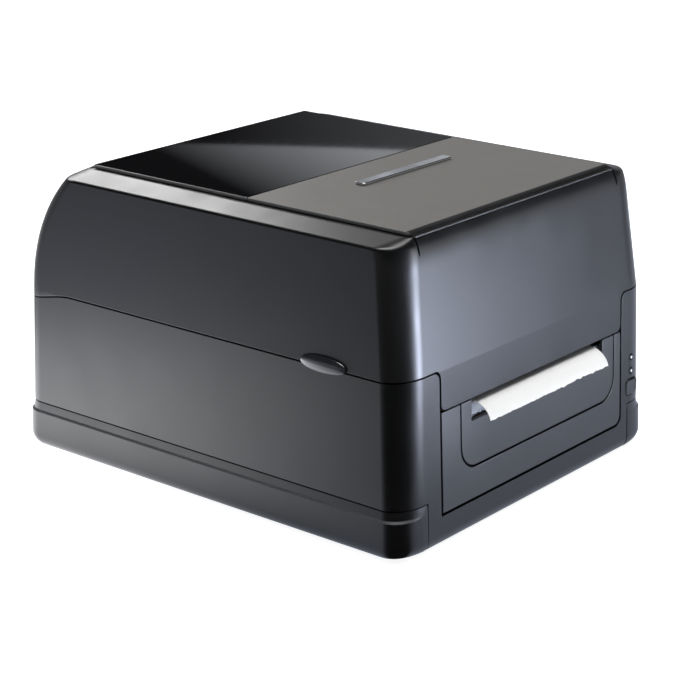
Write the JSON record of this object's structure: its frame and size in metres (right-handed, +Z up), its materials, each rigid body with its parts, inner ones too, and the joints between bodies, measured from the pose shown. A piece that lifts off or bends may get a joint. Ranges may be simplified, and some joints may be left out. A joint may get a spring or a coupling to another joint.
{
  "type": "thermal label printer",
  "caption": "Desktop thermal-transfer label printer with a clamshell cover, ribbon module, platen drive and a label roll on sliding holders.",
  "frame": {"origin": "centre of the footprint, on the surface that the rubber feet stand on", "axes": "+X to the right as seen from the front, the label slot faces -Y, +Z up"},
  "size_m": [0.2314, 0.2823, 0.1649],
  "materials": {
    "case_plastic": "black ABS with a fine spark-eroded grain, satin",
    "panel_plastic": "black ABS, fine grain, satin",
    "satin_plate": "warm dark grey plate with a fine hairline grain, satin",
    "gloss_black": "high-gloss black window panel",
    "chrome_trim": "bright plated trim",
    "foot_rubber": "moulded rubber, matt",
    "platen_rubber": "ground rubber sleeve, matt",
    "clear_lens": "frosted light pipe, bright",
    "circuit_board": "green solder mask",
    "steel": "plated steel, ground",
    "frame_plastic": "glass-filled grey plastic, matt",
    "bush_plastic": "grey acetal, matt",
    "gear_plastic": "natural acetal",
    "touch_plastic": "blue touch-point plastic, satin",
    "core_card": "wound brown card",
    "label_paper": "white label paper, matt",
    "head_ceramic": "glazed ceramic print head board",
    "heat_sink_aluminium": "extruded aluminium",
    "ribbon_wax": "black wax-coated film"
  },
  "bodies": {
    "base": {"base_tray": "case_plastic", "lower_housing": "case_plastic", "front_panel": "panel_plastic", "outlet_panel": "panel_plastic", "hinge_pin_left": "steel", "hinge_pin_right": "steel", "foot_front_left": "foot_rubber", "foot_front_right": "foot_rubber", "foot_rear_left": "foot_rubber", "foot_rear_right": "foot_rubber", "led_power": "clear_lens", "led_status": "clear_lens", "panel_board": "circuit_board", "switch_body": "case_plastic", "dc_inlet": "case_plastic", "usb_port": "steel", "serial_port": "steel", "main_board": "circuit_board", "print_frame": "frame_plastic", "platen_bush_left": "bush_plastic", "platen_bush_right": "bush_plastic", "stepper_motor": "steel", "tear_bar": "steel", "web_bar": "steel", "sensor_rail": "steel", "holder_base": "bush_plastic", "label_web": "label_paper", "module_pivot_rod": "steel"},
    "cover": {"top_cover": "case_plastic", "cover_plate": "satin_plate", "cover_window": "gloss_black", "badge_bar": "chrome_trim"},
    "head_module": {"module_frame": "frame_plastic", "print_head": "head_ceramic", "heat_sink": "heat_sink_aluminium", "head_spring_left": "steel", "head_spring_right": "steel", "ribbon_film": "ribbon_wax"},
    "supply_reel": {"supply_spindle": "touch_plastic", "ribbon_supply": "ribbon_wax"},
    "rewind_reel": {"rewind_spindle": "touch_plastic", "ribbon_rewind": "ribbon_wax", "rewind_gear": "gear_plastic"},
    "platen": {"platen_shaft": "steel", "platen_roller": "platen_rubber", "platen_gear": "gear_plastic"},
    "motor_rotor": {"motor_shaft": "steel", "motor_pinion": "gear_plastic"},
    "idler": {"idler_gear": "gear_plastic"},
    "upper_idler": {"upper_idler_gear": "gear_plastic"},
    "media_roll": {"roll_core": "core_card", "label_roll": "label_paper"},
    "holder_left_body": {"holder_left": "touch_plastic"},
    "holder_right_body": {"holder_right": "touch_plastic"},
    "holder_pinion_body": {"holder_pinion": "gear_plastic"},
    "sensor_body": {"media_sensor": "panel_plastic"},
    "web_guide_left_body": {"web_guide_left": "touch_plastic"},
    "web_guide_right_body": {"web_guide_right": "touch_plastic"},
    "feed_button_body": {"feed_button": "panel_plastic"},
    "power_rocker_body": {"power_rocker": "panel_plastic"}
  },
  "joints": [
    {"name": "cover_hinge", "type": "hinge", "parent": "base", "child": "cover", "pos_m": [0, 0.137, 0.0895], "axis": [-1, 0, 0], "range_deg": [0, 85]},
    {"name": "head_module_hinge", "type": "hinge", "parent": "base", "child": "head_module", "pos_m": [0, -0.014, 0.096], "axis": [-1, 0, 0], "range_deg": [0, 46.75]},
    {"name": "motor_spin", "type": "hinge", "parent": "base", "child": "motor_rotor", "pos_m": [-0.065, -0.0619, 0.0315], "axis": [1, 0, 0], "continuous": true},
    {"name": "idler_spin", "type": "hinge", "parent": "base", "child": "idler", "pos_m": [-0.065, -0.0799, 0.0555], "axis": [1, 0, 0], "continuous": true},
    {"name": "platen_spin", "type": "hinge", "parent": "base", "child": "platen", "pos_m": [0.006, -0.1135, 0.0607], "axis": [1, 0, 0], "continuous": true},
    {"name": "upper_idler_spin", "type": "hinge", "parent": "base", "child": "upper_idler", "pos_m": [-0.065, -0.0849, 0.09216], "axis": [1, 0, 0], "continuous": true},
    {"name": "rewind_spin", "type": "hinge", "parent": "head_module", "child": "rewind_reel", "pos_m": [0.006, -0.0774, 0.1161], "axis": [1, 0, 0], "continuous": true},
    {"name": "supply_spin", "type": "hinge", "parent": "head_module", "child": "supply_reel", "pos_m": [0.006, -0.036, 0.118], "axis": [1, 0, 0], "continuous": true},
    {"name": "media_roll_spin", "type": "hinge", "parent": "base", "child": "media_roll", "pos_m": [0.006, 0.055, 0.074], "axis": [1, 0, 0], "continuous": true},
    {"name": "holder_right_slide", "type": "slide", "parent": "base", "child": "holder_right_body", "axis": [1, 0, 0], "range_m": [0, 0.012]},
    {"name": "holder_left_slide", "type": "slide", "parent": "base", "child": "holder_left_body", "axis": [-1, 0, 0], "range_m": [0, 0.012]},
    {"name": "holder_pinion_turn", "type": "hinge", "parent": "base", "child": "holder_pinion_body", "pos_m": [0.006, 0.055, 0.01], "axis": [0, 0, 1], "range_deg": [0, 137.6]},
    {"name": "sensor_slide", "type": "slide", "parent": "base", "child": "sensor_body", "axis": [1, 0, 0], "range_m": [-0.04, 0.04]},
    {"name": "web_guide_right_slide", "type": "slide", "parent": "base", "child": "web_guide_right_body", "axis": [1, 0, 0], "range_m": [0, 0.0035]},
    {"name": "web_guide_left_slide", "type": "slide", "parent": "base", "child": "web_guide_left_body", "axis": [-1, 0, 0], "range_m": [0, 0.0035]},
    {"name": "feed_button_press", "type": "slide", "parent": "base", "child": "feed_button_body", "axis": [0, 1, 0], "range_m": [0, 0.001], "stiffness_N_per_m": 400},
    {"name": "power_rocker_tilt", "type": "hinge", "parent": "base", "child": "power_rocker_body", "pos_m": [-0.085, 0.1282, 0.056], "axis": [1, 0, 0], "range_deg": [0, 14]}
  ],
  "couplings": [
    {"joint": "head_module_hinge", "follows": "cover_hinge", "ratio": 0.55},
    {"joint": "idler_spin", "follows": "platen_spin", "ratio": -0.54546},
    {"joint": "motor_spin", "follows": "platen_spin", "ratio": 1.5},
    {"joint": "upper_idler_spin", "follows": "platen_spin", "ratio": 0.8},
    {"joint": "rewind_spin", "follows": "platen_spin", "ratio": -1.2},
    {"joint": "supply_spin", "follows": "platen_spin", "ratio": 0.43333},
    {"joint": "media_roll_spin", "follows": "platen_spin", "ratio": -0.156},
    {"joint": "holder_left_slide", "follows": "holder_right_slide", "ratio": 1},
    {"joint": "holder_pinion_turn", "follows": "holder_right_slide", "rad_per_m": 200},
    {"joint": "web_guide_left_slide", "follows": "web_guide_right_slide", "ratio": 1}
  ]
}
